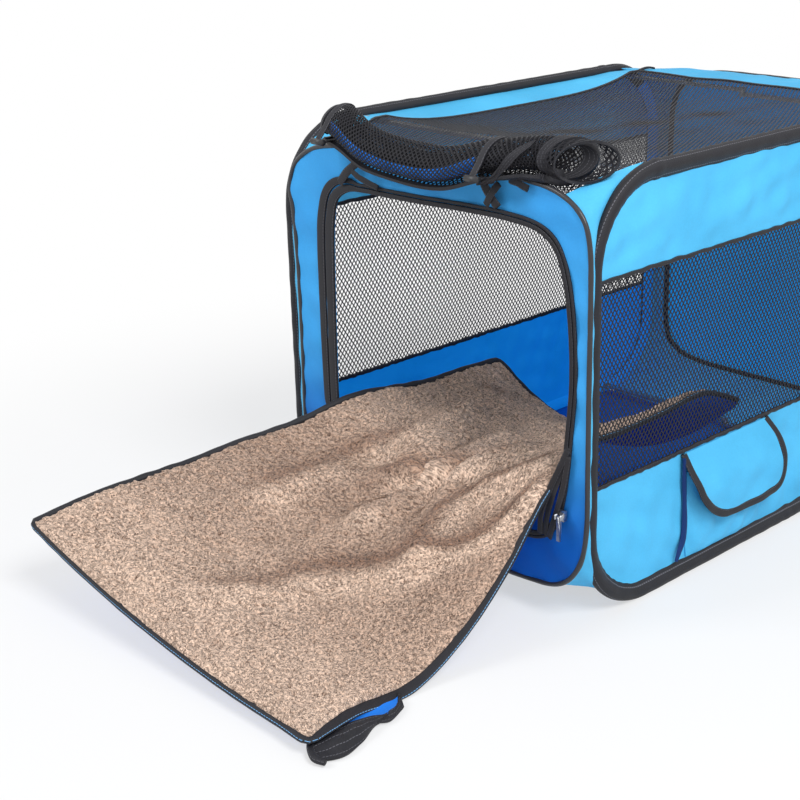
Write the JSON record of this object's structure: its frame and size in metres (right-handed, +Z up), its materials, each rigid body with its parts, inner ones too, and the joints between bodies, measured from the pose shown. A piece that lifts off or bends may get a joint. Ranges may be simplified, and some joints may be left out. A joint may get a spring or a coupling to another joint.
{
  "type": "soft folding dog crate",
  "caption": "Collapsible soft-sided pet crate: fabric over a folding steel frame, net windows and roof, rolled door flap, side pocket and a fleece mat pulled half out.",
  "frame": {"origin": "middle of the floor panel's underside, on the ground", "axes": "+Z up, -Y out of the door, +X towards the side with the pocket"},
  "size_m": [0.5558, 1.1761, 0.5705],
  "materials": {
    "steel_tube": "satin dark grey steel tube, hidden inside the edge binding",
    "steel_plate": "satin dark grey steel strip",
    "zip_metal": "bright nickel",
    "black_binding": "charcoal black webbing with a slight sheen",
    "black_piping": "glossy black piping",
    "black_net": "black open polyester net",
    "black_plastic": "matt black",
    "blue_fabric": "royal blue woven polyester",
    "pale_blue_fabric": "royal blue woven polyester, paler where the light falls on it",
    "fleece_pile": "soft light brown fleece"
  },
  "bodies": {
    "left_side": {"left_frame_tube": "steel_tube", "left_edge_binding": "black_binding", "left_upper_band": "pale_blue_fabric", "left_lower_band": "blue_fabric", "left_window_mesh": "black_net", "clip_bottom_front_left": "steel_plate", "clip_bottom_rear_left": "steel_plate", "clip_top_front_left": "steel_plate", "clip_top_rear_left": "steel_plate", "floor_panel": "blue_fabric", "roof_strip": "pale_blue_fabric", "roof_mesh": "black_net", "front_panel": "blue_fabric", "door_zip_tape": "black_binding", "front_piping": "black_piping", "front_gusset": "pale_blue_fabric", "rear_panel": "blue_fabric", "rear_piping": "black_piping", "rear_gusset": "pale_blue_fabric", "door_roll": "black_net", "roll_tie_left": "black_binding", "roll_tie_right": "black_binding", "roll_toggle_left": "black_plastic", "roll_toggle_right": "black_plastic"},
    "bar_bottom_front_left": {"bar_bottom_front_left": "steel_plate", "rivet_bottom_front": "steel_plate"},
    "bar_bottom_front_right": {"bar_bottom_front_right": "steel_plate"},
    "bar_bottom_rear_left": {"bar_bottom_rear_left": "steel_plate", "rivet_bottom_rear": "steel_plate"},
    "bar_bottom_rear_right": {"bar_bottom_rear_right": "steel_plate"},
    "bar_top_front_left": {"bar_top_front_left": "steel_plate", "rivet_top_front": "steel_plate"},
    "bar_top_front_right": {"bar_top_front_right": "steel_plate"},
    "bar_top_rear_left": {"bar_top_rear_left": "steel_plate", "rivet_top_rear": "steel_plate"},
    "bar_top_rear_right": {"bar_top_rear_right": "steel_plate"},
    "right_side": {"right_frame_tube": "steel_tube", "right_edge_binding": "black_binding", "right_upper_band": "pale_blue_fabric", "right_lower_band": "blue_fabric", "right_window_mesh": "black_net", "clip_bottom_front_right": "steel_plate", "clip_bottom_rear_right": "steel_plate", "clip_top_front_right": "steel_plate", "clip_top_rear_right": "steel_plate", "pocket_body": "blue_fabric", "pocket_patch": "black_plastic"},
    "pocket_flap": {"pocket_flap": "blue_fabric"},
    "zip_slider": {"zip_slider": "zip_metal"},
    "zip_pull": {"zip_pull": "zip_metal"},
    "mat": {"mat_base": "blue_fabric", "mat_fleece": "fleece_pile", "mat_binding": "black_binding", "mat_flap": "blue_fabric"}
  },
  "joints": [
    {"name": "fold", "type": "hinge", "parent": "left_side", "child": "bar_top_front_left", "pos_m": [-0.2343, -0.255, 0.5158], "axis": [0, 0, 1], "range_deg": [0, 84], "deforming": ["floor_panel", "roof_mesh", "roof_strip", "front_panel", "front_piping", "front_gusset", "door_zip_tape", "rear_panel", "rear_piping", "rear_gusset", "door_roll", "roll_tie_left", "roll_tie_right", "roll_toggle_left", "roll_toggle_right", "mat_base", "mat_fleece", "mat_binding", "mat_flap"]},
    {"name": "fold_top_front_middle", "type": "hinge", "parent": "bar_top_front_left", "child": "bar_top_front_right", "pos_m": [0, -0.255, 0.5158], "axis": [0, 0, 1], "range_deg": [-168, 0]},
    {"name": "fold_right_side", "type": "hinge", "parent": "bar_top_front_right", "child": "right_side", "pos_m": [0.2343, -0.255, 0.5158], "axis": [0, 0, 1], "range_deg": [0, 84]},
    {"name": "fold_bottom_front_left", "type": "hinge", "parent": "left_side", "child": "bar_bottom_front_left", "pos_m": [-0.2343, -0.255, 0.0142], "axis": [0, 0, 1], "range_deg": [0, 84]},
    {"name": "fold_bottom_front_middle", "type": "hinge", "parent": "bar_bottom_front_left", "child": "bar_bottom_front_right", "pos_m": [0, -0.255, 0.0142], "axis": [0, 0, 1], "range_deg": [-168, 0]},
    {"name": "fold_top_rear_left", "type": "hinge", "parent": "left_side", "child": "bar_top_rear_left", "pos_m": [-0.2343, 0.255, 0.5158], "axis": [0, 0, 1], "range_deg": [-84, 0]},
    {"name": "fold_top_rear_middle", "type": "hinge", "parent": "bar_top_rear_left", "child": "bar_top_rear_right", "pos_m": [0, 0.255, 0.5158], "axis": [0, 0, 1], "range_deg": [0, 168]},
    {"name": "fold_bottom_rear_left", "type": "hinge", "parent": "left_side", "child": "bar_bottom_rear_left", "pos_m": [-0.2343, 0.255, 0.0142], "axis": [0, 0, 1], "range_deg": [-84, 0]},
    {"name": "fold_bottom_rear_middle", "type": "hinge", "parent": "bar_bottom_rear_left", "child": "bar_bottom_rear_right", "pos_m": [0, 0.255, 0.0142], "axis": [0, 0, 1], "range_deg": [0, 168]},
    {"name": "pocket_flap_lift", "type": "hinge", "parent": "right_side", "child": "pocket_flap", "pos_m": [0.2541, -0.1125, 0.163], "axis": [0, -1, 0], "range_deg": [0, 140]},
    {"name": "zip_slide", "type": "slide", "parent": "left_side", "child": "zip_slider", "axis": [0, 0, 1], "range_m": [0, 0.25]},
    {"name": "zip_pull_swing", "type": "hinge", "parent": "zip_slider", "child": "zip_pull", "pos_m": [0.235, -0.4056, 0.142], "axis": [-1, 0, 0], "range_deg": [0, 150]},
    {"name": "mat_slide", "type": "slide", "parent": "left_side", "child": "mat", "axis": [0, -1, 0], "range_m": [0, 0.4]}
  ],
  "couplings": [
    {"joint": "fold_top_front_middle", "follows": "fold", "ratio": -2},
    {"joint": "fold_right_side", "follows": "fold", "ratio": 1},
    {"joint": "fold_bottom_front_left", "follows": "fold", "ratio": 1},
    {"joint": "fold_bottom_front_middle", "follows": "fold", "ratio": -2},
    {"joint": "fold_top_rear_left", "follows": "fold", "ratio": -1},
    {"joint": "fold_top_rear_middle", "follows": "fold", "ratio": 2},
    {"joint": "fold_bottom_rear_left", "follows": "fold", "ratio": -1},
    {"joint": "fold_bottom_rear_middle", "follows": "fold", "ratio": 2}
  ]
}
